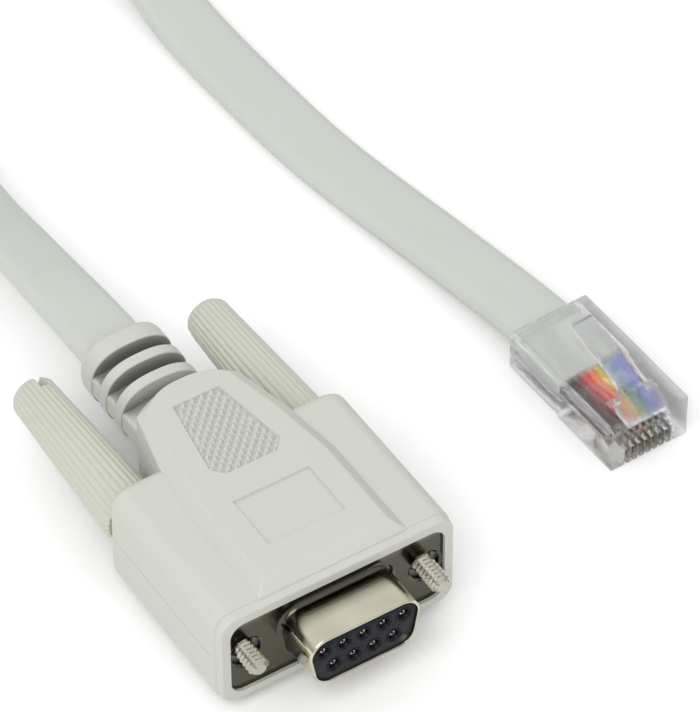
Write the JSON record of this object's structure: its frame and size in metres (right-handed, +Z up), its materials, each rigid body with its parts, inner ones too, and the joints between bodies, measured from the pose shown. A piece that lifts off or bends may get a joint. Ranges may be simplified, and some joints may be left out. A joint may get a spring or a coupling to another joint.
{
  "type": "rj45 console cable",
  "caption": "Flat grey console cable from a moulded D-shaped serial socket with two thumbscrews to a clear modular plug, its spare length coiled.",
  "frame": {"origin": "centre of the base of the serial connector (hood, shell, screws and strain relief) on the surface it lies on", "axes": "+Y from the mating face back along the hood to the strain relief, +X to the right seen from the mating face, +Z up"},
  "size_m": [0.1121, 0.2453, 0.0174],
  "materials": {
    "hood_pvc": "satin moulded PVC, light warm grey",
    "nickel_plate": "bright nickel plate",
    "black_insulator": "satin",
    "contact_metal": "thin gold flash over tin",
    "screw_steel": "bright zinc plate",
    "knob_plastic": "satin, yellower grey than the hood",
    "cable_jacket": "satin flexible PVC, cool light grey",
    "tie_plastic": "satin",
    "clear_plastic": "clear polycarbonate",
    "wire_black": "thin insulation",
    "wire_brown": "thin insulation",
    "wire_red": "thin insulation",
    "wire_orange": "thin insulation",
    "wire_yellow": "thin insulation",
    "wire_green": "thin insulation",
    "wire_blue": "thin insulation",
    "wire_violet": "thin insulation"
  },
  "bodies": {
    "cable": {"hood": "hood_pvc", "front_shell": "nickel_plate", "insulator": "black_insulator", "socket_contact_1": "contact_metal", "socket_contact_2": "contact_metal", "socket_contact_3": "contact_metal", "socket_contact_4": "contact_metal", "socket_contact_5": "contact_metal", "socket_contact_6": "contact_metal", "socket_contact_7": "contact_metal", "socket_contact_8": "contact_metal", "socket_contact_9": "contact_metal", "cable_hood_side": "cable_jacket", "cable_plug_side": "cable_jacket", "cable_coil": "cable_jacket", "coil_tie": "tie_plastic", "plug_housing": "clear_plastic", "plug_contact_1": "contact_metal", "plug_contact_2": "contact_metal", "plug_contact_3": "contact_metal", "plug_contact_4": "contact_metal", "plug_contact_5": "contact_metal", "plug_contact_6": "contact_metal", "plug_contact_7": "contact_metal", "plug_contact_8": "contact_metal", "conductor_1": "wire_black", "conductor_2": "wire_brown", "conductor_3": "wire_red", "conductor_4": "wire_orange", "conductor_5": "wire_yellow", "conductor_6": "wire_green", "conductor_7": "wire_blue", "conductor_8": "wire_violet"},
    "thumbscrew_left": {"jackscrew_left": "screw_steel", "thumbscrew_knob_left": "knob_plastic"},
    "thumbscrew_right": {"jackscrew_right": "screw_steel", "thumbscrew_knob_right": "knob_plastic"},
    "latch": {"plug_latch": "clear_plastic"}
  },
  "joints": [
    {"name": "thumbscrew_left_turn", "type": "hinge", "parent": "cable", "child": "thumbscrew_left", "pos_m": [-0.01249, 0.0082, 0.0087], "axis": [0, 1, 0], "continuous": true},
    {"name": "thumbscrew_right_turn", "type": "hinge", "parent": "cable", "child": "thumbscrew_right", "pos_m": [0.01249, 0.0082, 0.0087], "axis": [0, 1, 0], "continuous": true},
    {"name": "latch_press", "type": "hinge", "parent": "cable", "child": "latch", "pos_m": [0.05028, -0.01345, 0.00585], "axis": [0.9995, 0.0332, 0], "range_deg": [-12, 0], "stiffness_Nm_per_rad": 0.06}
  ]
}
